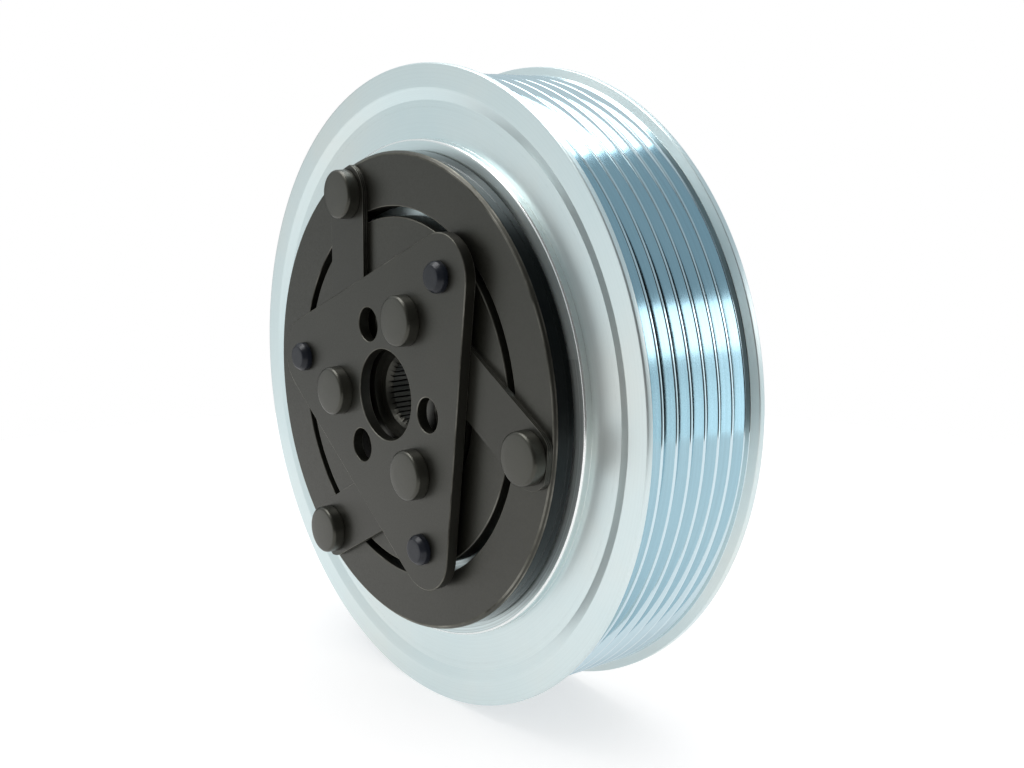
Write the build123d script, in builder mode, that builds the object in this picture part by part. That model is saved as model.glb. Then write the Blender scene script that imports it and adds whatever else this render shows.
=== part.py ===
from build123d import *
import os
from math import cos, radians, sin, tan

os.makedirs("parts", exist_ok=True)

# An electromagnetic clutch for a belt-driven compressor. The axis of rotation is Y, the hub
# faces -Y, and the origin is the middle of the bearing's bore. Sizes are in millimetres, and
# "front" is how far a face stands in front of the origin, towards the hub.

# Pulley
rim_radius = 66.0
crest_drop = 1.8
groove_pitch = 3.56
groove_count = 7
groove_depth = 2.7
groove_angle = 40.0
crest_width = 0.6
flange_land = 1.3
flange_slope = 0.6
last_land = 1.1
rear_flange = 1.5
rim_seat_radius = 57.5
rim_front = 13.5
rim_face_width = 4.8
rim_bevel_width = 2.4
rim_chamfer = 0.4

# Rotor
friction_radius = 51.2
friction_front = 14.4
annulus_drop = 1.7
rotor_wall_inner = 52.2
rotor_web = 4.6
rotor_sleeve_wall = 4.4
rotor_slot_width = 2.2
rotor_slot_inset = 2.4
rotor_outer_slot_radius = 43.4
rotor_slot_arc = 50.0
rotor_slot_count = 6
friction_inner_lip = 1.4

# Bearing
bearing_bore = 35.0
bearing_outside = 52.0
bearing_width = 20.0
ball_diameter = 5.0
race_depth = 1.0
ball_clearance = 0.06
ball_row_offset = 4.3
balls_per_row = 18
seal_thickness = 1.2
seal_gap = 0.3
seal_setback = 0.3
cage_wall = 1.4
cage_rail = 0.9
cage_clearance = 0.1
retaining_ring = 1.6
shoulder_step = 1.6
shoulder_width = 2.2

# Field coil
coil_gap = 1.3
coil_wall = 3.0
coil_back_wall = 3.0
pulley_to_plate = 0.88
bobbin_wall = 1.0
resin_depth = 2.2
resin_side = 0.8
plate_thickness = 2.5
plate_bore = 45.0
plate_lobe_radius = 7.0
plate_hole = 5.5
plate_hole_circle = 104.0
plate_hole_count = 4
grommet_radius = 4.0
grommet_angle = -90.0
lead_hole = 2.2
lead_spacing = 3.2

# Armature
air_gap = 0.5
armature_thickness = 4.5
armature_radius = 48.9
armature_hub_gap = 1.5
armature_chamfer = 0.6
armature_slot_inner = 35.9
armature_slot_outer = 37.9
armature_bridge = 10.0
armature_bridge_lead = 4.5

# Hub and stop plate
pattern_angle = 53.0
hub_flange_radius = 23.0
hub_flange_thickness = 4.5
hub_sleeve_radius = 11.8
hub_to_bearing = 0.2
counterbore_radius = 9.4
counterbore_depth = 1.6
spline_teeth = 36
spline_major = 7.2
spline_minor = 6.55
spline_chamfer = 0.5
spline_space = 0.72
spline_flank_angle = 75.0
shim_count = 3
shim_thickness = 0.5
shim_parting = 0.02
shim_bore_radius = 7.4
shim_seat_radius = 10.0
shim_seat_depth = 1.7
shim_clearance = 0.2
plate_corner_radius = 8.4
stop_plate_thickness = 2.4
stop_plate_bore = 18.7
puller_circle = 30.0
puller_clear_hole = 7.0
puller_thread_hole = 6.0

# Leaf springs, rivets and stops
leaf_count = 3
leaf_thickness = 0.43
leaf_parting = 0.01
leaf_width = 12.4
outer_rivet_radius = 43.2
inner_rivet_radius = 17.7
rivet_lead = 72.0
rivet_shank = 6.0
rivet_head_radius = 5.15
rivet_head_height = 2.8
rivet_head_edge = 0.7
rivet_tail_radius = 4.2
rivet_tail_height = 1.3
tail_sink = 0.2
rivet_fit = 0.02
bumper_circle = 32.0
bumper_stem_radius = 2.3
bumper_head_radius = 3.1
bumper_head_height = 2.1
bumper_head_edge = 0.8
bumper_foot_radius = 3.8
bumper_clearance = 0.1
leaf_edge_margin = 0.5
circlip_band = 3.2
circlip_bite = 1.3
circlip_gap = 7.0
circlip_slack = 0.05

# Places that follow from the sizes above
rim_width = flange_land + 2 * flange_slope + groove_count * groove_pitch + last_land + rear_flange
rim_rear = rim_front - rim_width
crest_radius = rim_radius - crest_drop
annulus_front = friction_front - annulus_drop
web_rear = friction_front - rotor_web
bearing_radius = bearing_outside / 2
bore_radius = bearing_bore / 2
bearing_front = bearing_width / 2
bearing_ring_wall = (bearing_radius - bore_radius - ball_diameter) / 2 + race_depth
inner_ring_outer = bore_radius + bearing_ring_wall
outer_ring_inner = bearing_radius - bearing_ring_wall
ball_circle = (inner_ring_outer + outer_ring_inner) / 2
sleeve_rear = -bearing_front - shoulder_width
rotor_sleeve_outer = bearing_radius + rotor_sleeve_wall
rotor_slot_radii = (rotor_sleeve_outer + rotor_slot_inset, rotor_outer_slot_radius)
friction_inner = bearing_radius + friction_inner_lip
armature_bore = 2 * (hub_flange_radius + armature_hub_gap)
armature_rear = friction_front + air_gap
armature_front = armature_rear + armature_thickness
leaf_stack = leaf_count * leaf_thickness
stop_plate_rear = armature_front + leaf_stack
stop_plate_front = stop_plate_rear + stop_plate_thickness
coil_inner = rotor_sleeve_outer + coil_gap
coil_outer = rotor_wall_inner - coil_gap
coil_front = web_rear - coil_gap
coil_rear = pulley_to_plate - rim_rear
coil_floor = -coil_rear + coil_back_wall
spring_angles = [pattern_angle + 60 + 120 * i for i in range(3)]
corner_angles = [pattern_angle + 120 * i for i in range(3)]


def across(front):
    """A plane square to the axis, its X along +X and its Y along +Z."""
    return Plane(origin=(0, -front, 0), x_dir=(1, 0, 0), z_dir=(0, -1, 0))


# Radius to the right and front upwards: a profile drawn here is revolved about Y.
section = Plane(origin=(0, 0, 0), x_dir=(1, 0, 0), z_dir=(0, 0, -1))


def turned(points):
    """A solid of revolution about the clutch's axis, from (radius, front) points."""
    with BuildPart() as ring:
        with BuildSketch(section):
            with BuildLine():
                Polyline(*points, close=True)
            make_face()
        revolve(axis=Axis.Y)
    return ring


def tube(inner, outer, rear, front):
    """A plain ring between two radii and two faces."""
    return turned([(inner, rear), (outer, rear), (outer, front), (inner, front)])


def polar(radius, angle):
    return (radius * cos(radians(angle)), radius * sin(radians(angle)))


# ---------------------------------------------------------------- pulley rim
def groove_outline():
    """Outer edge of the rim from its front face to its rear face."""
    half_bottom = groove_depth * tan(radians(groove_angle / 2))
    opening = groove_pitch - crest_width
    points = [
        (rim_radius - rim_chamfer, rim_front),
        (rim_radius, rim_front - rim_chamfer),
        (rim_radius, rim_front - flange_land),
        (crest_radius, rim_front - flange_land - flange_slope),
    ]
    for i in range(groove_count):
        start = rim_front - flange_land - flange_slope - i * groove_pitch - crest_width / 2
        end = start - opening
        points += [
            (crest_radius, start),
            (crest_radius - groove_depth, start - half_bottom),
            (crest_radius - groove_depth, end + half_bottom),
            (crest_radius, end),
        ]
    points += [
        (crest_radius, rim_rear + rear_flange + flange_slope),
        (rim_radius, rim_rear + rear_flange),
        (rim_radius, rim_rear + rim_chamfer),
        (rim_radius - rim_chamfer, rim_rear),
    ]
    return points


bevel_radius = rim_radius - rim_face_width
pulley_rim = turned(
    groove_outline()
    + [
        (rim_seat_radius, rim_rear),
        (rim_seat_radius, annulus_front),
        (bevel_radius - rim_bevel_width, annulus_front),
        (bevel_radius, rim_front),
    ]
)
pulley_rim.part.label = "pulley_rim"
export_step(pulley_rim.part, "parts/pulley_rim.step")

# ---------------------------------------------------------------- rotor
with BuildPart() as rotor:
    with BuildSketch(section):
        with BuildLine():
            Polyline(
                (bearing_radius, sleeve_rear + shoulder_width),
                (bearing_radius - shoulder_step, sleeve_rear + shoulder_width),
                (bearing_radius - shoulder_step, sleeve_rear),
                (rotor_sleeve_outer, sleeve_rear),
                (rotor_sleeve_outer, web_rear),
                (rotor_wall_inner, web_rear),
                (rotor_wall_inner, rim_rear),
                (rim_seat_radius, rim_rear),
                (rim_seat_radius, annulus_front),
                (friction_radius, annulus_front),
                (friction_radius, friction_front),
                (friction_inner, friction_front),
                (bearing_radius, friction_front - (friction_inner - bearing_radius)),
                close=True,
            )
        make_face()
    revolve(axis=Axis.Y)
    with BuildSketch(across(friction_front)):
        for slot_radius in rotor_slot_radii:
            with PolarLocations(0, rotor_slot_count):
                SlotArc(
                    CenterArc((0, 0), slot_radius, -rotor_slot_arc / 2, rotor_slot_arc), rotor_slot_width
                )
    extrude(amount=-rotor_web, mode=Mode.SUBTRACT)
    with BuildSketch(section):
        with Locations((bearing_radius, bearing_front + retaining_ring / 2)):
            Rectangle(2 * shoulder_step, retaining_ring)
    revolve(axis=Axis.Y, mode=Mode.SUBTRACT)
rotor.part.label = "rotor"
export_step(rotor.part, "parts/rotor.step")

# ---------------------------------------------------------------- bearing
with BuildPart() as bearing_outer_ring:
    with BuildSketch(section):
        with Locations((bearing_radius - bearing_ring_wall / 2, 0)):
            Rectangle(bearing_ring_wall, bearing_width)
        with Locations((ball_circle, ball_row_offset), (ball_circle, -ball_row_offset)):
            Circle(ball_diameter / 2 + ball_clearance, mode=Mode.SUBTRACT)
    revolve(axis=Axis.Y)
bearing_outer_ring.part.label = "bearing_outer_ring"
export_step(bearing_outer_ring.part, "parts/bearing_outer_ring.step")

with BuildPart() as bearing_inner_ring:
    with BuildSketch(section):
        with Locations((bore_radius + bearing_ring_wall / 2, 0)):
            Rectangle(bearing_ring_wall, bearing_width)
        with Locations((ball_circle, ball_row_offset), (ball_circle, -ball_row_offset)):
            Circle(ball_diameter / 2 + ball_clearance, mode=Mode.SUBTRACT)
    revolve(axis=Axis.Y)
bearing_inner_ring.part.label = "bearing_inner_ring"
export_step(bearing_inner_ring.part, "parts/bearing_inner_ring.step")

for side, row_front in (("front", ball_row_offset), ("rear", -ball_row_offset)):
    with BuildPart() as balls:
        with Locations(across(row_front)):
            with PolarLocations(ball_circle, balls_per_row):
                Sphere(ball_diameter / 2)
    balls.part.label = f"{side}_balls"
    export_step(balls.part, f"parts/{side}_balls.step")

    with BuildPart() as ball_cage:
        with BuildSketch(section):
            with Locations((ball_circle, row_front)):
                Rectangle(cage_wall, ball_diameter + 2 * cage_rail)
        revolve(axis=Axis.Y)
        for i in range(balls_per_row):
            pocket_angle = radians(i * 360 / balls_per_row)
            outwards = Plane(origin=(0, -row_front, 0), z_dir=(cos(pocket_angle), 0, sin(pocket_angle)))
            with BuildSketch(outwards):
                Circle(ball_diameter / 2 + cage_clearance)
            extrude(amount=bearing_radius, mode=Mode.SUBTRACT)
    ball_cage.part.label = f"{side}_ball_cage"
    export_step(ball_cage.part, f"parts/{side}_ball_cage.step")

    outward = 1 if side == "front" else -1
    seal_middle = outward * (bearing_front - seal_setback - seal_thickness / 2)
    seal = tube(
        inner_ring_outer + seal_gap,
        outer_ring_inner,
        seal_middle - seal_thickness / 2,
        seal_middle + seal_thickness / 2,
    )
    seal.part.label = f"{side}_seal"
    export_step(seal.part, f"parts/{side}_seal.step")

# The snap ring lies against the bearing's front face, open at the bottom.
with BuildPart() as bearing_circlip:
    with BuildSketch(across(bearing_front)):
        Circle(bearing_radius + circlip_bite)
        Circle(bearing_radius + circlip_bite - circlip_band, mode=Mode.SUBTRACT)
        with Locations((0, -bearing_radius)):
            Rectangle(circlip_gap, 2 * circlip_band, mode=Mode.SUBTRACT)
    extrude(amount=retaining_ring - circlip_slack)
bearing_circlip.part.label = "bearing_circlip"
export_step(bearing_circlip.part, "parts/bearing_circlip.step")

# ---------------------------------------------------------------- field coil
grommet_circle = (coil_inner + coil_outer) / 2
grommet_spot = polar(grommet_circle, grommet_angle)

with BuildPart() as coil_shell:
    with BuildSketch(section):
        with BuildLine():
            Polyline(
                (coil_inner, -coil_rear),
                (coil_outer, -coil_rear),
                (coil_outer, coil_front),
                (coil_outer - coil_wall, coil_front),
                (coil_outer - coil_wall, coil_floor),
                (coil_inner + coil_wall, coil_floor),
                (coil_inner + coil_wall, coil_front),
                (coil_inner, coil_front),
                close=True,
            )
        make_face()
    revolve(axis=Axis.Y)
    with BuildSketch(across(-coil_rear)):
        with Locations(grommet_spot):
            Circle(grommet_radius)
    extrude(amount=coil_back_wall, mode=Mode.SUBTRACT)
coil_shell.part.label = "coil_shell"
export_step(coil_shell.part, "parts/coil_shell.step")

spool_inner = coil_inner + coil_wall
spool_outer = coil_outer - coil_wall
spool_front = coil_front - resin_depth
coil_bobbin = turned(
    [
        (spool_inner, coil_floor),
        (spool_outer - resin_side, coil_floor),
        (spool_outer - resin_side, coil_floor + bobbin_wall),
        (spool_inner + bobbin_wall, coil_floor + bobbin_wall),
        (spool_inner + bobbin_wall, spool_front - bobbin_wall),
        (spool_outer - resin_side, spool_front - bobbin_wall),
        (spool_outer - resin_side, spool_front),
        (spool_inner, spool_front),
    ]
)
coil_bobbin.part.label = "coil_bobbin"
export_step(coil_bobbin.part, "parts/coil_bobbin.step")

coil_winding = tube(
    spool_inner + bobbin_wall,
    spool_outer - resin_side,
    coil_floor + bobbin_wall,
    spool_front - bobbin_wall,
)
coil_winding.part.label = "coil_winding"
export_step(coil_winding.part, "parts/coil_winding.step")

coil_resin = turned(
    [
        (spool_outer - resin_side, coil_floor),
        (spool_outer, coil_floor),
        (spool_outer, coil_front),
        (spool_inner, coil_front),
        (spool_inner, spool_front),
        (spool_outer - resin_side, spool_front),
    ]
)
coil_resin.part.label = "coil_resin"
export_step(coil_resin.part, "parts/coil_resin.step")

with BuildPart() as coil_mounting_plate:
    with BuildSketch(across(-coil_rear)):
        Circle(coil_outer)
        for i in range(plate_hole_count):
            lobe_angle = 45 + i * 360 / plate_hole_count
            with Locations(polar(plate_hole_circle / 2, lobe_angle)):
                Circle(plate_lobe_radius)
        Circle(plate_bore / 2, mode=Mode.SUBTRACT)
        with PolarLocations(plate_hole_circle / 2, plate_hole_count, start_angle=45):
            Circle(plate_hole / 2, mode=Mode.SUBTRACT)
        with Locations(grommet_spot):
            Circle(grommet_radius, mode=Mode.SUBTRACT)
    extrude(amount=-plate_thickness)
coil_mounting_plate.part.label = "coil_mounting_plate"
export_step(coil_mounting_plate.part, "parts/coil_mounting_plate.step")

with BuildPart() as lead_grommet:
    with BuildSketch(across(coil_floor)):
        with Locations(grommet_spot):
            Circle(grommet_radius)
            with GridLocations(lead_spacing, 0, 2, 1):
                Circle(lead_hole / 2, mode=Mode.SUBTRACT)
    extrude(amount=-(coil_back_wall + plate_thickness))
lead_grommet.part.label = "lead_grommet"
export_step(lead_grommet.part, "parts/lead_grommet.step")

# ---------------------------------------------------------------- armature
with BuildPart() as armature_plate:
    with BuildSketch(section):
        with BuildLine():
            Polyline(
                (armature_bore / 2, armature_rear),
                (armature_radius, armature_rear),
                (armature_radius, armature_front - armature_chamfer),
                (armature_radius - armature_chamfer, armature_front),
                (armature_bore / 2, armature_front),
                close=True,
            )
        make_face()
    revolve(axis=Axis.Y)
    slot_middle = (armature_slot_inner + armature_slot_outer) / 2
    slot_arc = 120 - armature_bridge
    with BuildSketch(across(armature_front)):
        for angle in spring_angles:
            slot_start = angle + armature_bridge_lead + armature_bridge / 2
            SlotArc(
                CenterArc((0, 0), slot_middle, slot_start, slot_arc),
                armature_slot_outer - armature_slot_inner,
            )
    extrude(amount=-armature_thickness, mode=Mode.SUBTRACT)
    with BuildSketch(across(armature_front)):
        with PolarLocations(outer_rivet_radius, 3, start_angle=spring_angles[0]):
            Circle(rivet_shank / 2 + rivet_fit)
    extrude(amount=-armature_thickness, mode=Mode.SUBTRACT)
    with BuildSketch(across(armature_rear)):
        with PolarLocations(outer_rivet_radius, 3, start_angle=spring_angles[0]):
            Circle(rivet_tail_radius + rivet_fit)
    extrude(amount=rivet_tail_height + rivet_fit, mode=Mode.SUBTRACT)
armature_plate.part.label = "armature_plate"
export_step(armature_plate.part, "parts/armature_plate.step")

# ---------------------------------------------------------------- hub
hub_flange_rear = armature_front - hub_flange_thickness
hub_rear = bearing_front + hub_to_bearing
spline_front = armature_front - counterbore_depth
with BuildPart() as hub:
    with BuildSketch(section):
        with BuildLine():
            Polyline(
                (spline_minor, hub_rear + shim_seat_depth),
                (shim_seat_radius, hub_rear + shim_seat_depth),
                (shim_seat_radius, hub_rear),
                (hub_sleeve_radius, hub_rear),
                (hub_sleeve_radius, hub_flange_rear),
                (hub_flange_radius, hub_flange_rear),
                (hub_flange_radius, armature_front),
                (counterbore_radius, armature_front),
                (counterbore_radius, spline_front),
                (spline_major + spline_chamfer, spline_front),
                (spline_minor, spline_front - (spline_major + spline_chamfer - spline_minor)),
                close=True,
            )
        make_face()
    revolve(axis=Axis.Y)
    with BuildSketch(across(spline_front)):
        with PolarLocations(spline_minor, spline_teeth):
            Trapezoid(
                spline_space,
                2 * (spline_major - spline_minor),
                spline_flank_angle,
                rotation=-90,
            )
    extrude(amount=hub_rear + shim_seat_depth - spline_front, mode=Mode.SUBTRACT)
    with BuildSketch(across(armature_front)):
        with PolarLocations(puller_circle / 2, 3, start_angle=spring_angles[0]):
            Circle(puller_thread_hole / 2)
        with PolarLocations(inner_rivet_radius, 3, start_angle=spring_angles[0] + rivet_lead):
            Circle(rivet_shank / 2 + rivet_fit)
    extrude(amount=-hub_flange_thickness, mode=Mode.SUBTRACT)
    with BuildSketch(across(hub_flange_rear)):
        with PolarLocations(inner_rivet_radius, 3, start_angle=spring_angles[0] + rivet_lead):
            Circle(rivet_tail_radius + rivet_fit)
    extrude(amount=rivet_tail_height + rivet_fit, mode=Mode.SUBTRACT)
hub.part.label = "hub"
export_step(hub.part, "parts/hub.step")

with BuildPart() as gap_shims:
    for i in range(shim_count):
        with BuildSketch(across(hub_rear + shim_seat_depth - i * shim_thickness)):
            Circle(shim_seat_radius - shim_clearance)
            Circle(shim_bore_radius, mode=Mode.SUBTRACT)
        extrude(amount=-shim_thickness + shim_parting)
gap_shims.part.label = "gap_shims"
export_step(gap_shims.part, "parts/gap_shims.step")

with BuildPart() as stop_plate:
    with BuildSketch(across(stop_plate_rear)):
        with PolarLocations(bumper_circle, 3, start_angle=pattern_angle):
            Circle(plate_corner_radius)
        make_hull()
        Circle(stop_plate_bore / 2, mode=Mode.SUBTRACT)
        with PolarLocations(puller_circle / 2, 3, start_angle=spring_angles[0]):
            Circle(puller_clear_hole / 2, mode=Mode.SUBTRACT)
        with PolarLocations(inner_rivet_radius, 3, start_angle=spring_angles[0] + rivet_lead):
            Circle(rivet_shank / 2 + rivet_fit, mode=Mode.SUBTRACT)
        with PolarLocations(bumper_circle, 3, start_angle=pattern_angle):
            Circle(bumper_stem_radius + rivet_fit, mode=Mode.SUBTRACT)
    extrude(amount=stop_plate_thickness)
stop_plate.part.label = "stop_plate"
export_step(stop_plate.part, "parts/stop_plate.step")


# ---------------------------------------------------------------- rivets, stops and leaf springs
def headed_pin(spot, head_base, head, edge, shank, shank_rear, tail, tail_height):
    """A headed pin at a spot on the face: head in front, shank through, and a wider tail."""
    head_radius, head_height = head
    with BuildPart() as pin:
        with BuildSketch(across(head_base)):
            with Locations(spot):
                Circle(head_radius)
        extrude(amount=head_height)
        fillet(pin.edges().filter_by(GeomType.CIRCLE).sort_by(Axis.Y)[0], radius=edge)
        with BuildSketch(across(head_base)):
            with Locations(spot):
                Circle(shank)
        extrude(amount=shank_rear - head_base)
        with BuildSketch(across(shank_rear)):
            with Locations(spot):
                Circle(tail)
        extrude(amount=tail_height)
    return pin


for i in range(3):
    hub_rivet = headed_pin(
        polar(inner_rivet_radius, spring_angles[i] + rivet_lead),
        stop_plate_front,
        (rivet_head_radius, rivet_head_height),
        rivet_head_edge,
        rivet_shank / 2,
        hub_flange_rear,
        rivet_tail_radius,
        rivet_tail_height,
    )
    hub_rivet.part.label = f"hub_rivet_{i + 1}"
    export_step(hub_rivet.part, f"parts/hub_rivet_{i + 1}.step")

    armature_rivet = headed_pin(
        polar(outer_rivet_radius, spring_angles[i]),
        armature_front + leaf_stack,
        (rivet_head_radius, rivet_head_height),
        rivet_head_edge,
        rivet_shank / 2,
        armature_rear + tail_sink,
        rivet_tail_radius,
        rivet_tail_height - tail_sink,
    )
    armature_rivet.part.label = f"armature_rivet_{i + 1}"
    export_step(armature_rivet.part, f"parts/armature_rivet_{i + 1}.step")

    bumper = headed_pin(
        polar(bumper_circle, corner_angles[i]),
        stop_plate_front,
        (bumper_head_radius, bumper_head_height),
        bumper_head_edge,
        bumper_stem_radius,
        armature_front + bumper_clearance,
        bumper_foot_radius,
        leaf_stack - bumper_clearance,
    )
    bumper.part.label = f"bumper_{i + 1}"
    export_step(bumper.part, f"parts/bumper_{i + 1}.step")

    outer_spot = polar(outer_rivet_radius, spring_angles[i])
    inner_spot = polar(inner_rivet_radius, spring_angles[i] + rivet_lead)
    with BuildPart() as leaf_spring:
        for leaf in range(leaf_count):
            with BuildSketch(across(armature_front + leaf * leaf_thickness)):
                with Locations(outer_spot, inner_spot):
                    Circle(leaf_width / 2)
                make_hull()
                Circle(armature_radius - leaf_edge_margin, mode=Mode.INTERSECT)
                with Locations(outer_spot, inner_spot):
                    Circle(rivet_shank / 2 + rivet_fit, mode=Mode.SUBTRACT)
            extrude(amount=leaf_thickness - leaf_parting)
    leaf_spring.part.label = f"leaf_spring_{i + 1}"
    export_step(leaf_spring.part, f"parts/leaf_spring_{i + 1}.step")
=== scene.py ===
import math

import bmesh
import bpy
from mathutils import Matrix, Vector


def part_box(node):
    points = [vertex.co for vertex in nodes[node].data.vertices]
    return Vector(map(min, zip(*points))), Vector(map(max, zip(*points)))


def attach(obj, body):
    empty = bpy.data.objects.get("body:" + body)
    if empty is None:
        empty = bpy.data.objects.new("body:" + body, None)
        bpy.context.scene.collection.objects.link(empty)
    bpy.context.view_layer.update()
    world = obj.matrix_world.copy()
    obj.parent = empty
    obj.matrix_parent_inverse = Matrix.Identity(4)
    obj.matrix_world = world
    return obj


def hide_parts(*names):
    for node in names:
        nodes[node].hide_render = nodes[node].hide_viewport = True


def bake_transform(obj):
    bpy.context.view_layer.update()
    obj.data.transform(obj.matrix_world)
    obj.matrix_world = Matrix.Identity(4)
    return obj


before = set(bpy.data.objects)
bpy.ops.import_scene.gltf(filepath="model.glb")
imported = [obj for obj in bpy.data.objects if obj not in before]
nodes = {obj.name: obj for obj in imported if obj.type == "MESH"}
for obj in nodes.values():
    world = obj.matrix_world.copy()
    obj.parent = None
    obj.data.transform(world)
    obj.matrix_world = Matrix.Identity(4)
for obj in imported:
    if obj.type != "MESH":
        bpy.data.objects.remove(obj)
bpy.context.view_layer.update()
mm = 0.001
weldGap = 0.0000005
print("frame loaded:", len(nodes), "pieces of CAD")


# small helpers for modelling

def deselectAll():
    if bpy.context.mode != "OBJECT":
        bpy.ops.object.mode_set(mode="OBJECT")
    bpy.ops.object.select_all(action="DESELECT")


def pickOnly(piece):
    deselectAll()
    piece.select_set(True)
    bpy.context.view_layer.objects.active = piece


def startEditing(piece, mode="VERT"):
    pickOnly(piece)
    bpy.ops.object.mode_set(mode="EDIT")
    bpy.ops.mesh.select_mode(type=mode)


def selectVerts(piece, wanted):
    # wanted is a test on a vertex's place, in metres
    mesh = bmesh.from_edit_mesh(piece.data)
    for vert in mesh.verts:
        vert.select_set(wanted(vert.co))
    mesh.select_flush_mode()
    bmesh.update_edit_mesh(piece.data)


def applyModifier(piece, kind, **settings):
    pickOnly(piece)
    modifier = piece.modifiers.new(kind.title(), kind)
    for key, value in settings.items():
        setattr(modifier, key, value)
    bpy.ops.object.modifier_apply(modifier=modifier.name)


def smooth(piece, degrees=38):
    # flat faces stay flat and only the roundings between them turn
    pickOnly(piece)
    bpy.ops.object.shade_smooth_by_angle(angle=math.radians(degrees))
    applyModifier(piece, "WEIGHTED_NORMAL", weight=100, keep_sharp=True)


def closeUp(piece):
    # joins the doubles, then turns every face outwards
    startEditing(piece)
    bpy.ops.mesh.select_all(action="SELECT")
    bpy.ops.mesh.remove_doubles(threshold=weldGap)
    bpy.ops.mesh.normals_make_consistent(inside=False)
    bpy.ops.object.mode_set(mode="OBJECT")


def onSection(point):
    # (radius, front) in mm, on the half plane of +X
    return Vector((point[0] * mm, -point[1] * mm, 0))


def turnProfile(name, outline, steps, closed=True):
    # draws (radius, front, rounding) points in mm as a wire and spins it about Y
    deselectAll()
    first = onSection(outline[0])
    bpy.ops.mesh.primitive_plane_add(size=mm, location=first)
    piece = bpy.context.object
    piece.name = name
    bpy.ops.object.transform_apply(location=True, rotation=True, scale=True)
    startEditing(piece)
    bpy.ops.mesh.select_all(action="SELECT")
    bpy.ops.mesh.merge(type="CENTER")
    route = list(outline[1:]) + ([outline[0]] if closed else [])
    here = first
    for point in route:
        there = onSection(point)
        bpy.ops.mesh.extrude_region_move(TRANSFORM_OT_translate={"value": there - here})
        here = there
    bpy.ops.mesh.select_all(action="SELECT")
    bpy.ops.mesh.remove_doubles(threshold=weldGap)
    for rounding in sorted({p[2] for p in outline if len(p) > 2}):
        corners = [onSection(p) for p in outline if len(p) > 2 and p[2] == rounding]
        selectVerts(piece, lambda co: any((co - c).length < 2 * weldGap for c in corners))
        bpy.ops.mesh.bevel(offset=rounding * mm, segments=3, affect="VERTICES")
    bpy.ops.mesh.select_all(action="SELECT")
    bpy.ops.mesh.spin(steps=steps, angle=math.tau, center=(0, 0, 0), axis=(0, 1, 0))
    closeUp(piece)
    return piece


def roundEdgesIntoEdgeFinish(piece, width, wanted, segments=2, sharp=40):
    # rounds the wanted sharp edges off, in the piece's second finish, a lighter edge colour that on the
    # phosphate and zinc pieces is partly wear and partly painted highlight
    startEditing(piece, "EDGE")
    bpy.ops.mesh.select_all(action="DESELECT")
    bpy.ops.mesh.edges_select_sharp(sharpness=math.radians(sharp))
    mesh = bmesh.from_edit_mesh(piece.data)
    for edge in mesh.edges:
        if edge.select and not wanted((edge.verts[0].co + edge.verts[1].co) / 2):
            edge.select_set(False)
    bmesh.update_edit_mesh(piece.data)
    bpy.ops.mesh.bevel(offset=width * mm, segments=segments, affect="EDGES", clamp_overlap=True,
                       material=min(1, len(piece.data.materials) - 1))
    bpy.ops.object.mode_set(mode="OBJECT")


def looseCopy(node, name, finishes, flat=0.6):
    # a CAD piece's own shape, its triangles joined back into faces
    mesh = nodes[node].data.copy()
    mesh.materials.clear()
    for finish in finishes:
        mesh.materials.append(finish)
    piece = bpy.data.objects.new(name, mesh)
    bpy.context.scene.collection.objects.link(piece)
    pickOnly(piece)
    bpy.ops.mesh.customdata_custom_splitnormals_clear()
    startEditing(piece)
    bpy.ops.mesh.select_all(action="SELECT")
    bpy.ops.mesh.remove_doubles(threshold=2 * weldGap)
    bpy.ops.mesh.dissolve_limited(angle_limit=math.radians(flat))
    bpy.ops.object.mode_set(mode="OBJECT")
    return piece


def softenedCopy(node, name, edge, finishes, segments=2):
    piece = looseCopy(node, name, finishes)
    roundEdgesIntoEdgeFinish(piece, edge, lambda co: True, segments)
    smooth(piece)
    return piece


def ownCopy(piece, name, move):
    pickOnly(piece)
    bpy.ops.object.duplicate()
    copy = bpy.context.object
    copy.name = name
    bpy.ops.transform.translate(value=move)
    bpy.ops.object.transform_apply(location=True, rotation=True, scale=True)
    return copy


def middleOf(node):
    low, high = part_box(node)
    return (low + high) / 2


def frontOf(node):
    # how far a node's front stands before the bearing's middle, in mm
    return -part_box(node)[0].y / mm


def rearOf(node):
    return -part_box(node)[1].y / mm


def reachOf(co):
    # distance from the axis of rotation
    return math.hypot(co.x, co.z)


def finishPiece(piece, body, stands, finishes=()):
    for finish in finishes:
        piece.data.materials.append(finish)
    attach(piece, body)
    if stands:
        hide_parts(*stands)


# finishes

def addNode(tree, kind, **settings):
    node = tree.nodes.new(kind)
    for key, value in settings.items():
        if key.startswith("in_"):
            socket = key[3:]
            node.inputs[int(socket) if socket.isdigit() else socket.replace("_", " ")].default_value = value
        else:
            setattr(node, key, value)
    return node


def rampOf(tree, source, stops):
    ramp = addNode(tree, "ShaderNodeValToRGB")
    while len(ramp.color_ramp.elements) < len(stops):
        ramp.color_ramp.elements.new(0.5)
    for element, (place, colour) in zip(ramp.color_ramp.elements, stops):
        element.position = place
        element.color = (*colour, 1)
    tree.links.new(source, ramp.inputs["Fac"])
    return ramp.outputs["Color"]


def noiseOf(tree, vector, scale, detail, rough):
    noise = addNode(tree, "ShaderNodeTexNoise", in_Scale=scale, in_Detail=detail, in_Roughness=rough)
    tree.links.new(vector, noise.inputs["Vector"])
    return noise.outputs["Fac"]


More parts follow.
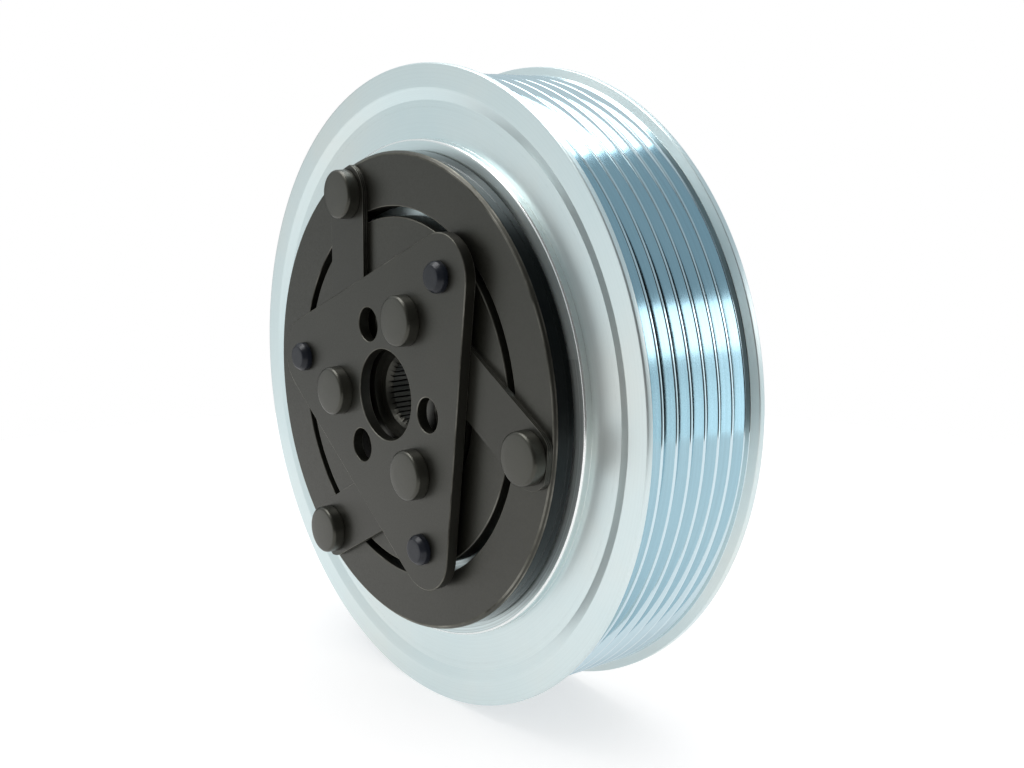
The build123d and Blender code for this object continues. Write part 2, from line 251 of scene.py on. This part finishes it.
def turnedLines(tree, vector, pitch):
    # fine random lathe lines: rings round Y on flat faces, and hoops along Y on round ones
    parts = addNode(tree, "ShaderNodeSeparateXYZ")
    tree.links.new(vector, parts.inputs["Vector"])
    flat = addNode(tree, "ShaderNodeCombineXYZ")
    tree.links.new(parts.outputs["X"], flat.inputs["X"])
    tree.links.new(parts.outputs["Z"], flat.inputs["Y"])
    radius = addNode(tree, "ShaderNodeVectorMath", operation="LENGTH")
    tree.links.new(flat.outputs["Vector"], radius.inputs[0])
    along = addNode(tree, "ShaderNodeMath", operation="ADD")
    tree.links.new(radius.outputs["Value"], along.inputs[0])
    tree.links.new(parts.outputs["Y"], along.inputs[1])
    lines = addNode(tree, "ShaderNodeTexNoise", noise_dimensions="1D", in_Scale=1 / (pitch * mm),
                    in_Detail=2, in_Roughness=0.6)
    tree.links.new(along.outputs["Value"], lines.inputs["W"])
    return lines.outputs["Fac"]


def makeFinish(name, look):
    finish = bpy.data.materials.new(name)
    finish.use_nodes = True
    tree = finish.node_tree
    tree.nodes.clear()
    shader = addNode(tree, "ShaderNodeBsdfPrincipled")
    output = addNode(tree, "ShaderNodeOutputMaterial")
    tree.links.new(shader.outputs["BSDF"], output.inputs["Surface"])
    shader.inputs["Metallic"].default_value = look.get("metallic", 0)
    shader.inputs["Specular IOR Level"].default_value = look.get("gloss", 0.5)
    shader.inputs["Specular Tint"].default_value = (*look.get("tint", (1, 1, 1)), 1)
    shader.inputs["Coat Weight"].default_value = look.get("coat", 0)
    shader.inputs["Coat Roughness"].default_value = 0.2
    coords = addNode(tree, "ShaderNodeTexCoord")
    vector = coords.outputs["Object"]

    cloud = noiseOf(tree, vector, look["cloud"], 4, 0.55)
    colour = rampOf(tree, cloud, look["colours"])
    grain = noiseOf(tree, vector, look["grain"], 3, 0.7)
    if "lines" in look:
        lines = turnedLines(tree, vector, look["lines"])
        tint = rampOf(tree, lines, [(0.3, (look["lineShade"],) * 3), (0.7, (1, 1, 1))])
        mix = addNode(tree, "ShaderNodeMix", data_type="RGBA", blend_type="MULTIPLY")
        mix.inputs["Factor"].default_value = 1
        tree.links.new(colour, mix.inputs[6])
        tree.links.new(tint, mix.inputs[7])
        colour = mix.outputs[2]
        height = lines
    else:
        height = grain
    tree.links.new(colour, shader.inputs["Base Color"])

    dull, dullest = look["roughness"]
    spread = addNode(tree, "ShaderNodeMapRange", in_1=0.3, in_2=0.7, in_3=dull, in_4=dullest)
    tree.links.new(cloud if look.get("smears") else grain, spread.inputs[0])
    tree.links.new(spread.outputs[0], shader.inputs["Roughness"])

    bump = addNode(tree, "ShaderNodeBump", in_Strength=look["bump"], in_Distance=look["depth"] * mm)
    tree.links.new(height, bump.inputs["Height"])
    tree.links.new(bump.outputs["Normal"], shader.inputs["Normal"])
    return finish


zincLook = {
    "colours": [(0.3, (0.63, 0.745, 0.76)), (0.5, (0.67, 0.765, 0.77)), (0.72, (0.71, 0.765, 0.745))],
    "metallic": 0.82, "cloud": 26, "grain": 900, "roughness": (0.285, 0.36), "smears": True,
    "lines": 0.22, "lineShade": 0.96, "bump": 0.04, "depth": 0.008,
}
phosphateLook = {
    "colours": [(0.3, (0.0035, 0.0034, 0.0024)), (0.55, (0.005, 0.0049, 0.0036)),
                (0.75, (0.008, 0.0077, 0.0055))],
    "metallic": 0, "gloss": 0.6, "tint": (1, 0.99, 0.86), "cloud": 60, "grain": 2600,
    "roughness": (0.32, 0.46), "bump": 0.25, "depth": 0.02,
}

finishes = {
    "zinc": makeFinish("zinc plate, turned", zincLook),
    "grooveZinc": makeFinish("zinc plate, belt grooves", {
        **zincLook, "colours": [(0.3, (0.56, 0.70, 0.76)), (0.7, (0.60, 0.73, 0.78))], "metallic": 1,
        "lines": 0.3, "lineShade": 0.95, "roughness": (0.06, 0.11), "bump": 0.03}),
    # lighter, smoother zinc for the rounded edges: partly real edge wear, partly a painted highlight
    "zincWearAndHighlight": makeFinish("zinc plate, worn edge and painted highlight", {
        **zincLook, "colours": [(0.3, (0.84, 0.88, 0.88)), (0.7, (0.9, 0.92, 0.91))],
        "roughness": (0.1, 0.18)}),
    "frictionSteel": makeFinish("friction face, machined", {
        **zincLook, "lines": 0.42, "lineShade": 0.68, "bump": 0.5, "depth": 0.03,
        "roughness": (0.285, 0.34)}),
    "phosphate": makeFinish("black-brown phosphate", phosphateLook),
    # lighter, metallic colour for the rounded edges: partly real edge wear, partly a painted highlight that
    # stands in for the light the edges catch
    "phosphateWearAndHighlight": makeFinish("black-brown phosphate, worn edge and painted highlight", {
        **phosphateLook,
        "colours": [(0.3, (0.015, 0.015, 0.012)), (0.55, (0.1, 0.098, 0.085)), (0.75, (0.22, 0.215, 0.19))],
        "cloud": 110, "metallic": 0.7, "roughness": (0.285, 0.38)}),
    "threadSteel": makeFinish("cut thread, oiled", {
        **phosphateLook, "colours": [(0.3, (0.04, 0.04, 0.036)), (0.7, (0.07, 0.07, 0.062))],
        "metallic": 0.7, "roughness": (0.285, 0.36)}),
    "rivetSteel": makeFinish("black-brown rivet", {
        **phosphateLook, "colours": [(0.3, (0.012, 0.012, 0.0095)), (0.7, (0.02, 0.02, 0.016))],
        "cloud": 120, "gloss": 0.64, "roughness": (0.28, 0.4)}),
    "armatureSide": makeFinish("armature, black turned side", {
        **phosphateLook, "colours": [(0.3, (0.024, 0.027, 0.028)), (0.7, (0.036, 0.039, 0.04))],
        "metallic": 1, "gloss": 0.5, "tint": (1, 1, 1), "roughness": (0.08, 0.14),
        "lines": 0.25, "lineShade": 0.8, "bump": 0.08}),
    "springStrip": makeFinish("blued spring strip", {
        **phosphateLook, "colours": [(0.3, (0.004, 0.0039, 0.003)), (0.7, (0.008, 0.0077, 0.006))],
        "gloss": 0.52, "roughness": (0.28, 0.4)}),
    "bumperRubber": makeFinish("blue-black stop rubber", {
        "colours": [(0.3, (0.007, 0.009, 0.013)), (0.7, (0.012, 0.014, 0.020))], "cloud": 300, "grain": 3000,
        "roughness": (0.285, 0.36), "bump": 0.3, "depth": 0.03, "gloss": 0.27}),
    "bearingSteel": makeFinish("ground bearing steel", {
        "colours": [(0.3, (0.52, 0.53, 0.54)), (0.7, (0.62, 0.63, 0.63))], "metallic": 1, "cloud": 90,
        "grain": 1500, "roughness": (0.285, 0.36), "lines": 0.12, "lineShade": 0.85,
        "bump": 0.15, "depth": 0.01}),
    "ballSteel": makeFinish("polished ball steel", {
        "colours": [(0.3, (0.74, 0.75, 0.76)), (0.7, (0.8, 0.81, 0.82))], "metallic": 1, "cloud": 200,
        "grain": 2000, "roughness": (0.05, 0.1), "bump": 0.05, "depth": 0.005}),
    "cageNylon": makeFinish("cage nylon", {
        "colours": [(0.3, (0.42, 0.36, 0.24)), (0.7, (0.52, 0.46, 0.33))], "cloud": 150, "grain": 1800,
        "roughness": (0.4, 0.55), "bump": 0.2, "depth": 0.02}),
    "sealRubber": makeFinish("seal rubber", {
        "colours": [(0.3, (0.045, 0.03, 0.024)), (0.7, (0.07, 0.048, 0.04))], "cloud": 120, "grain": 2200,
        "roughness": (0.45, 0.6), "lines": 0.5, "lineShade": 0.8, "bump": 0.3, "depth": 0.03}),
    "snapRing": makeFinish("blackened snap ring", {
        "colours": [(0.3, (0.05, 0.05, 0.052)), (0.7, (0.09, 0.09, 0.09))], "metallic": 0.8, "cloud": 150,
        "grain": 2500, "roughness": (0.3, 0.45), "bump": 0.2, "depth": 0.01}),
    "coilSteel": makeFinish("coil housing, grey phosphate", {
        "colours": [(0.3, (0.26, 0.29, 0.29)), (0.5, (0.32, 0.34, 0.34)), (0.75, (0.38, 0.40, 0.38))],
        "metallic": 0.75, "cloud": 70, "grain": 2200, "roughness": (0.36, 0.52), "bump": 0.3, "depth": 0.02}),
    # lighter, more metallic colour on the rounded edges
    "coilSteelLighterEdge": makeFinish("coil housing, lighter edge", {
        "colours": [(0.3, (0.45, 0.47, 0.46)), (0.7, (0.56, 0.57, 0.56))], "metallic": 0.9, "cloud": 200,
        "grain": 2200, "roughness": (0.285, 0.38), "bump": 0.2, "depth": 0.01}),
    "bobbinNylon": makeFinish("bobbin nylon", {
        "colours": [(0.3, (0.02, 0.02, 0.02)), (0.7, (0.035, 0.035, 0.035))], "cloud": 150, "grain": 1500,
        "roughness": (0.4, 0.55), "bump": 0.2, "depth": 0.02}),
    "wireCopper": makeFinish("enamelled copper wire", {
        "colours": [(0.3, (0.45, 0.12, 0.04)), (0.7, (0.6, 0.2, 0.07))], "metallic": 0.9, "cloud": 200,
        "grain": 1500, "roughness": (0.285, 0.38), "lines": 0.5, "lineShade": 0.4,
        "bump": 0.8, "depth": 0.15}),
    "resin": makeFinish("potting resin", {
        "colours": [(0.3, (0.03, 0.05, 0.045)), (0.7, (0.05, 0.07, 0.062))], "cloud": 60, "grain": 400,
        "roughness": (0.285, 0.36), "bump": 0.3, "depth": 0.08, "coat": 0.3}),
    "grommetRubber": makeFinish("lead grommet rubber", {
        "colours": [(0.3, (0.018, 0.018, 0.018)), (0.7, (0.03, 0.03, 0.03))], "cloud": 200, "grain": 2500,
        "roughness": (0.45, 0.6), "bump": 0.3, "depth": 0.03}),
    "shimSteel": makeFinish("bright shim strip", {
        "colours": [(0.3, (0.5, 0.5, 0.5)), (0.7, (0.62, 0.62, 0.61))], "metallic": 1, "cloud": 120,
        "grain": 1800, "roughness": (0.285, 0.36), "bump": 0.15, "depth": 0.01}),
}

# CAD pieces that keep their own shape
keptNodes = {
    "bearing_outer_ring": "bearingSteel", "bearing_inner_ring": "bearingSteel",
    "front_balls": "ballSteel", "rear_balls": "ballSteel",
    "front_ball_cage": "cageNylon", "rear_ball_cage": "cageNylon",
    "front_seal": "sealRubber", "rear_seal": "sealRubber", "bearing_circlip": "snapRing",
    "coil_bobbin": "bobbinNylon", "coil_winding": "wireCopper", "coil_resin": "resin",
    "gap_shims": "shimSteel",
}
for node, finish in keptNodes.items():
    nodes[node].data.materials.clear()
    nodes[node].data.materials.append(finishes[finish])
print("finishes made:", len(finishes))


# pulley rim

rimSettings = {
    "pitch": 3.56, "grooves": 7, "depth": 2.7, "angle": 40, "crest": 0.6, "crestDrop": 1.8,
    "flangeLand": 1.3, "flangeSlope": 0.6, "rearFlange": 1.5, "seat": 57.5, "faceWidth": 4.8,
    "bevelWidth": 2.4, "annulusDrop": 1.7, "steps": 256,
    "edgeRound": 0.4, "flangeRound": 0.16, "footRound": 0.1, "rearFootRound": 0.12, "crestRound": 0.13,
    "bottomRound": 0.25, "bevelRound": 0.1, "faceRound": 0.2,
    "grooveInset": 1.4, "grooveDeep": 3.0, "grooveHigh": 0.05,
}


def rimOutline(s):
    radius, front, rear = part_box("pulley_rim")[1].x / mm, frontOf("pulley_rim"), rearOf("pulley_rim")
    annulus = frontOf("rotor") - s["annulusDrop"]
    crest = radius - s["crestDrop"]
    slope = s["depth"] * math.tan(math.radians(s["angle"] / 2))
    outline = [
        (radius, front, s["edgeRound"]),
        (radius, front - s["flangeLand"], s["flangeRound"]),
        (crest, front - s["flangeLand"] - s["flangeSlope"], s["footRound"]),
    ]
    for i in range(s["grooves"]):
        start = front - s["flangeLand"] - s["flangeSlope"] - i * s["pitch"] - s["crest"] / 2
        end = start - s["pitch"] + s["crest"]
        outline += [
            (crest, start, s["crestRound"]),
            (crest - s["depth"], start - slope, s["bottomRound"]),
            (crest - s["depth"], end + slope, s["bottomRound"]),
            (crest, end, s["crestRound"]),
        ]
    outline += [
        (crest, rear + s["rearFlange"] + s["flangeSlope"], s["rearFootRound"]),
        (radius, rear + s["rearFlange"], s["flangeRound"]),
        (radius, rear, s["edgeRound"]),
        (s["seat"], rear),
        (s["seat"], annulus),
        (radius - s["faceWidth"] - s["bevelWidth"], annulus, s["bevelRound"]),
        (radius - s["faceWidth"], front, s["faceRound"]),
    ]
    return outline


def finishGrooves(rim, s):
    # the grooves between the two flanges get the rim's second finish
    low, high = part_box("pulley_rim")
    crest = high.x - s["crestDrop"] * mm
    for face in rim.data.polygons:
        between = low.y + s["grooveInset"] * mm < face.center.y < high.y - s["grooveInset"] * mm
        if between and crest - s["grooveDeep"] * mm < reachOf(face.center) < crest + s["grooveHigh"] * mm:
            face.material_index = 1


pulleyRim = turnProfile("pulleyRim", rimOutline(rimSettings), rimSettings["steps"])
smooth(pulleyRim)
finishPiece(pulleyRim, "pulley", ["pulley_rim"],
            [finishes["zinc"], finishes["grooveZinc"]])
finishGrooves(pulleyRim, rimSettings)
print("pulley rim turned:", len(pulleyRim.data.polygons), "faces")


# rotor

rotorSettings = {
    "edge": 0.16, "frictionEdge": 0.42, "frictionRadius": 51.2, "frictionInside": 30, "frictionDepth": 0.3,
    "radiusSlack": 0.2, "frontSlack": 0.05, "seat": 57.5, "seatSlack": 0.3, "facing": -0.99,
}
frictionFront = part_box("rotor")[0].y


def onFrictionEdge(co):
    near = abs(reachOf(co) - rotorSettings["frictionRadius"] * mm) < rotorSettings["radiusSlack"] * mm
    return near and co.y < frictionFront + rotorSettings["frontSlack"] * mm


def awayFromSeat(co):
    # the joint between rotor and rim is flush, so it stays sharp
    seat = rotorSettings["seat"] - rotorSettings["seatSlack"]
    return reachOf(co) < seat * mm and not onFrictionEdge(co)


def finishFrictionFace(rotor, s):
    for face in rotor.data.polygons:
        inFront = face.normal.y < s["facing"] and face.center.y < frictionFront + s["frictionDepth"] * mm
        if inFront and reachOf(face.center) > s["frictionInside"] * mm:
            face.material_index = 2


rotor = looseCopy("rotor", "rotorBody", [finishes["zinc"], finishes["zincWearAndHighlight"], finishes["frictionSteel"]])
# the rounded edges and the friction ring's wide outer rounding take the lighter zinc, partly worn edge and
# partly painted highlight
roundEdgesIntoEdgeFinish(rotor, rotorSettings["edge"], awayFromSeat)
roundEdgesIntoEdgeFinish(rotor, rotorSettings["frictionEdge"], onFrictionEdge, 4)
smooth(rotor)
finishFrictionFace(rotor, rotorSettings)
finishPiece(rotor, "pulley", ["rotor"])
print("rotor softened:", len(rotor.data.polygons), "faces")


# armature

armatureSettings = {"edge": 0.22, "sideDepth": 0.3, "sideTilt": 0.3}

armature = softenedCopy("armature_plate", "armaturePlate", armatureSettings["edge"],
                        [finishes["phosphate"], finishes["phosphateWearAndHighlight"], finishes["armatureSide"]], 3)
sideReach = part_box("armature_plate")[1].x - armatureSettings["sideDepth"] * mm
for face in armature.data.polygons:
    if reachOf(face.center) > sideReach and abs(face.normal.y) < armatureSettings["sideTilt"]:
        face.material_index = 2
finishPiece(armature, "armature", ["armature_plate"])
print("armature softened:", len(armature.data.polygons), "faces")


# stop plate and hub

hubEdges = {"plate": 0.28, "hub": 0.1}

stopPlate = softenedCopy("stop_plate", "stopPlate", hubEdges["plate"],
                         [finishes["phosphate"], finishes["phosphateWearAndHighlight"]], 3)
finishPiece(stopPlate, "hub", ["stop_plate"])
hubBody = softenedCopy("hub", "hubBody", hubEdges["hub"], [finishes["phosphate"]], 1)
finishPiece(hubBody, "hub", ["hub"])
print("stop plate and hub softened:", len(stopPlate.data.polygons), len(hubBody.data.polygons), "faces")

threadSettings = {
    "circle": 15.0, "root": 2.985, "tip": 2.5, "pitch": 1.0, "turns": 4, "inset": 0.15, "wall": 0.02,
    "runOut": 0.05, "steps": 40, "smoothing": 25,
}


def makeThread(s, front):
    # V-shaped rings in a thin sleeve that lines the puller hole
    outline = [(s["root"], front - s["inset"])]
    for i in range(s["turns"]):
        outline.append((s["tip"], front - s["inset"] - (i + 0.5) * s["pitch"]))
        outline.append((s["root"] - s["wall"], front - s["inset"] - (i + 1) * s["pitch"]))
    outline.append((s["root"], front - s["inset"] - s["turns"] * s["pitch"] - s["runOut"]))
    thread = turnProfile("pullerThread", outline, s["steps"])
    smooth(thread, s["smoothing"])
    return thread


# the puller holes stand halfway between the rubber stops
thread = makeThread(threadSettings, frontOf("armature_plate"))
firstStop = middleOf("bumper_1")
for number in (1, 2, 3):
    turn = math.atan2(firstStop.z, firstStop.x) + math.radians(120 * number - 60)
    reach = threadSettings["circle"] * mm
    copy = ownCopy(thread, f"pullerThread{number}", (reach * math.cos(turn), 0, reach * math.sin(turn)))
    finishPiece(copy, "hub", [], [finishes["threadSteel"]])
bpy.data.objects.remove(thread)
print("puller threads cut")


# leaf springs

springSettings = {
    "edge": 0.07, "cuts": 14, "firstCut": 0.12, "cutSpan": 0.76, "stiffInside": 0.3, "stiffOutside": 0.14,
}


def makeSpring(number, s):
    # cut across into short lengths between its two rivets
    node = f"leaf_spring_{number}"
    spring = looseCopy(node, f"leafSpring{number}", [finishes["springStrip"], finishes["phosphateWearAndHighlight"]])
    roundEdgesIntoEdgeFinish(spring, s["edge"], lambda co: True)
    outer = middleOf(f"armature_rivet_{number}")
    inner = middleOf(f"hub_rivet_{number}")
    outer.y = inner.y = 0
    run = outer - inner
    startEditing(spring)
    for i in range(s["cuts"]):
        share = s["firstCut"] + s["cutSpan"] * (i + 0.5) / s["cuts"]
        bpy.ops.mesh.select_all(action="SELECT")
        bpy.ops.mesh.bisect(plane_co=inner + run * share, plane_no=run.normalized())
    bpy.ops.object.mode_set(mode="OBJECT")
    smooth(spring)
    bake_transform(spring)
    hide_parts(node)


for number in (1, 2, 3):
    makeSpring(number, springSettings)
print("leaf springs made")


# rivets

rivetSettings = {
    "radius": 5.15, "height": 2.8, "edge": 0.62, "shank": 3.0, "tail": 4.2, "tailHeight": 1.3,
    "crown": 0.12, "flatShare": 0.55, "flatDrop": 0.02, "draft": 0.1, "footRound": 0.15, "tailRound": 0.2,
    "steps": 56, "smoothing": 50,
}


def makeRivet(s, tailRear):
    # the head stands in front of 0, the shank and the formed tail behind it
    outline = [
        (0, s["height"]),
        (s["radius"] * s["flatShare"], s["height"] - s["flatDrop"]),
        (s["radius"] - s["draft"], s["height"] - s["crown"], s["edge"]),
        (s["radius"], 0, s["footRound"]),
        (s["shank"], 0),
        (s["shank"], tailRear + s["tailHeight"]),
        (s["tail"], tailRear + s["tailHeight"]),
        (s["tail"], tailRear, s["tailRound"]),
        (0, tailRear),
    ]
    rivet = turnProfile("rivet", outline, s["steps"], closed=False)
    smooth(rivet, s["smoothing"])
    return rivet


plateFront = frontOf("stop_plate")
leafFront = frontOf("leaf_spring_1")
for body, node, base in (("hub", "hub_rivet", plateFront), ("armature", "armature_rivet", leafFront)):
    rivet = makeRivet(rivetSettings, rearOf(f"{node}_1") - base)
    for number in (1, 2, 3):
        spot = middleOf(f"{node}_{number}")
        copy = ownCopy(rivet, f"{body}Rivet{number}", (spot.x, -base * mm, spot.z))
        finishPiece(copy, body, [f"{node}_{number}"], [finishes["rivetSteel"]])
    bpy.data.objects.remove(rivet)
print("rivets set")


# rubber stops

bumperSettings = {
    "head": 3.1, "face": 2.35, "flatShare": 0.6, "height": 2.1, "side": 1.15, "stem": 2.3, "foot": 3.8,
    "faceRound": 0.14, "sideRound": 0.25, "headRound": 0.12, "footRound": 0.15, "steps": 48, "smoothing": 50,
}


def makeBumper(s, footFront, footRear):
    # the head stands in front of 0, the stem goes through the stop plate to a foot behind it
    outline = [
        (0, s["height"]),
        (s["face"] * s["flatShare"], s["height"]),
        (s["face"], s["height"], s["faceRound"]),
        (s["head"], s["side"], s["sideRound"]),
        (s["head"], 0, s["headRound"]),
        (s["stem"], 0),
        (s["stem"], footFront),
        (s["foot"], footFront, s["footRound"]),
        (s["foot"], footRear, s["footRound"]),
        (0, footRear),
    ]
    bumper = turnProfile("bumper", outline, s["steps"], closed=False)
    smooth(bumper, s["smoothing"])
    return bumper


bumper = makeBumper(bumperSettings, rearOf("stop_plate") - plateFront, rearOf("bumper_1") - plateFront)
for number in (1, 2, 3):
    spot = middleOf(f"bumper_{number}")
    copy = ownCopy(bumper, f"rubberStop{number}", (spot.x, -plateFront * mm, spot.z))
    finishPiece(copy, "hub", [f"bumper_{number}"], [finishes["bumperRubber"]])
bpy.data.objects.remove(bumper)
print("rubber stops set")


# field coil

coilEdges = {"shell": 0.3, "plate": 0.25, "grommet": 0.25}

for node, name, edge in (("coil_shell", "coilShell", coilEdges["shell"]),
                         ("coil_mounting_plate", "coilPlate", coilEdges["plate"])):
    piece = softenedCopy(node, name, edge, [finishes["coilSteel"], finishes["coilSteelLighterEdge"]])
    finishPiece(piece, "stator", [node])
grommet = softenedCopy("lead_grommet", "leadGrommet", coilEdges["grommet"], [finishes["grommetRubber"]])
finishPiece(grommet, "stator", ["lead_grommet"])
print("field coil finished")


# studio: floor, light and camera

studio = {
    "floorReach": 0.3, "floorColour": (0.5, 0.5, 0.503), "floorGlow": 0.6, "ambient": 0.75,
    "cameraPlace": (0.222377, -0.168012, 0.051338), "azimuth": 51.331, "elevation": 10.521,
    "lens": 46.631, "sensor": 36,
}

# colour of the room by elevation in degrees, as the plating mirrors it
roomTones = {
    "front": [(-90, (1.0, 1.02, 1.03)), (-18, (1.12, 1.14, 1.15)), (-5, (0.96, 0.99, 1.0)),
              (5, (0.74, 0.78, 0.79)), (30, (0.78, 0.81, 0.82)), (50, (1.0, 1.0, 1.0)),
              (90, (1.1, 1.1, 1.1))],
    "back": [(-90, (1.6, 1.66, 1.66)), (-17, (1.5, 1.58, 1.6)), (-13, (0.72, 0.82, 0.86)),
             (6, (0.70, 0.80, 0.85)), (24, (0.46, 0.53, 0.57)), (90, (0.5, 0.57, 0.6))],
}
# along Y, where the front of the room starts to turn into the back, and where the back is full
roomTurn = (-0.15, 0.3)
# dark flags along X: where one starts, where it is full, how much light it leaves
# the right and left ones cross the whole room, the front one only its front
flags = {"right": (0.70, 0.76, 0.1), "left": (-0.925, -0.955, 0.1)}
frontFlag = (-0.05, 0.1, 0.05)
softboxes = {
    "keySoftbox": {"place": (-0.285, -0.02, 0.80), "aim": (0, 0, -1), "size": (0.53, 1.40),
                   "power": 11, "mirrored": True},
    "edgeSoftbox": {"place": (0.487, 0.722, 0.225), "size": (0.38, 0.2), "power": 0.5, "mirrored": True},
    "stripSoftbox": {"place": (0.618, 0.652, 0.047), "size": (0.07, 0.55), "power": 0.12, "mirrored": True},
    "topSoftbox": {"place": (0, -0.02, 1.2), "size": (1.6, 1.6), "power": 9, "mirrored": False},
}


def makeFloor(s):
    deselectAll()
    lowest = min(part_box(node)[0].z for node in nodes)
    bpy.ops.mesh.primitive_circle_add(vertices=96, radius=s["floorReach"], fill_type="NGON",
                                      location=(0, 0, lowest))
    floor = bpy.context.object
    floor.name = "paleFloor"
    bpy.ops.object.transform_apply(location=True, rotation=True, scale=True)
    paper = bpy.data.materials.new("pale floor")
    paper.use_nodes = True
    shader = paper.node_tree.nodes["Principled BSDF"]
    shader.inputs["Base Color"].default_value = (*s["floorColour"], 1)
    shader.inputs["Roughness"].default_value = 0.9
    shader.inputs["Specular IOR Level"].default_value = 0.1
    shader.inputs["Emission Color"].default_value = (1, 1, 1, 1)
    shader.inputs["Emission Strength"].default_value = s["floorGlow"]
    floor.data.materials.append(paper)


def roomRamp(tree, source, tones):
    stops = [((math.sin(math.radians(rise)) + 1) / 2, colour) for rise, colour in tones]
    return rampOf(tree, source, stops)


def flagged(tree, colour, across, flag):
    start, full, left = flag
    dim = addNode(tree, "ShaderNodeMapRange", in_1=start, in_2=full, in_3=1.0, in_4=left)
    tree.links.new(across, dim.inputs[0])
    shade = addNode(tree, "ShaderNodeMix", data_type="RGBA", blend_type="MULTIPLY")
    shade.inputs["Factor"].default_value = 1
    tree.links.new(colour, shade.inputs[6])
    tree.links.new(dim.outputs[0], shade.inputs[7])
    return shade.outputs[2]


def makeRoom(s):
    # the room round the clutch: plain white to look at, toned where the plating mirrors it
    world = bpy.data.worlds.new("studio room")
    world.use_nodes = True
    world.cycles.sampling_method = "NONE"
    tree = world.node_tree
    tree.nodes.clear()
    coords = addNode(tree, "ShaderNodeTexCoord")
    parts = addNode(tree, "ShaderNodeSeparateXYZ")
    tree.links.new(coords.outputs["Generated"], parts.inputs["Vector"])
    rise = addNode(tree, "ShaderNodeMapRange", in_1=-1.0, in_2=1.0)
    tree.links.new(parts.outputs["Z"], rise.inputs[0])
    front = flagged(tree, roomRamp(tree, rise.outputs[0], roomTones["front"]), parts.outputs["X"], frontFlag)
    back = roomRamp(tree, rise.outputs[0], roomTones["back"])
    side = addNode(tree, "ShaderNodeMapRange", in_1=roomTurn[0], in_2=roomTurn[1])
    tree.links.new(parts.outputs["Y"], side.inputs[0])
    mix = addNode(tree, "ShaderNodeMix", data_type="RGBA")
    tree.links.new(side.outputs[0], mix.inputs["Factor"])
    tree.links.new(front, mix.inputs[6])
    tree.links.new(back, mix.inputs[7])
    shade = mix.outputs[2]
    for flag in flags.values():
        shade = flagged(tree, shade, parts.outputs["X"], flag)
    mirrored = addNode(tree, "ShaderNodeBackground", in_Strength=1.0)
    tree.links.new(shade, mirrored.inputs["Color"])
    ambient = addNode(tree, "ShaderNodeBackground", in_Color=(1, 1, 1, 1), in_Strength=s["ambient"])
    plain = addNode(tree, "ShaderNodeBackground", in_Color=(1, 1, 1, 1), in_Strength=1.0)
    ray = addNode(tree, "ShaderNodeLightPath")
    gloss = addNode(tree, "ShaderNodeMixShader")
    tree.links.new(ray.outputs["Is Glossy Ray"], gloss.inputs[0])
    tree.links.new(ambient.outputs[0], gloss.inputs[1])
    tree.links.new(mirrored.outputs[0], gloss.inputs[2])
    seen = addNode(tree, "ShaderNodeMixShader")
    tree.links.new(ray.outputs["Is Camera Ray"], seen.inputs[0])
    tree.links.new(gloss.outputs[0], seen.inputs[1])
    tree.links.new(plain.outputs[0], seen.inputs[2])
    output = addNode(tree, "ShaderNodeOutputWorld")
    tree.links.new(seen.outputs[0], output.inputs["Surface"])
    bpy.context.scene.world = world


def addSoftbox(name, s):
    # a mirrored box only shows in the plating and the gloss, the other one only lights and shades
    deselectAll()
    bpy.ops.object.light_add(type="AREA", location=s["place"])
    light = bpy.context.object
    light.name = name
    light.data.shape = "RECTANGLE"
    light.data.size, light.data.size_y = s["size"]
    light.data.energy = s["power"]
    aim = Vector(s.get("aim", -Vector(s["place"])))
    light.rotation_euler = aim.to_track_quat("-Z", "Y").to_euler()
    light.visible_glossy = s["mirrored"]
    light.visible_diffuse = not s["mirrored"]
    light.visible_camera = False


def makeCamera(s):
    deselectAll()
    turn = (math.radians(90 - s["elevation"]), 0, math.radians(s["azimuth"]))
    bpy.ops.object.camera_add(location=s["cameraPlace"], rotation=turn)
    camera = bpy.context.object
    camera.name = "studioCamera"
    camera.data.lens = s["lens"]
    camera.data.sensor_width = s["sensor"]
    camera.data.clip_start = 0.01
    bpy.context.scene.camera = camera


makeFloor(studio)
makeRoom(studio)
for name, settings in softboxes.items():
    addSoftbox(name, settings)
makeCamera(studio)
bpy.context.scene.view_settings.view_transform = "Standard"
print("studio ready")
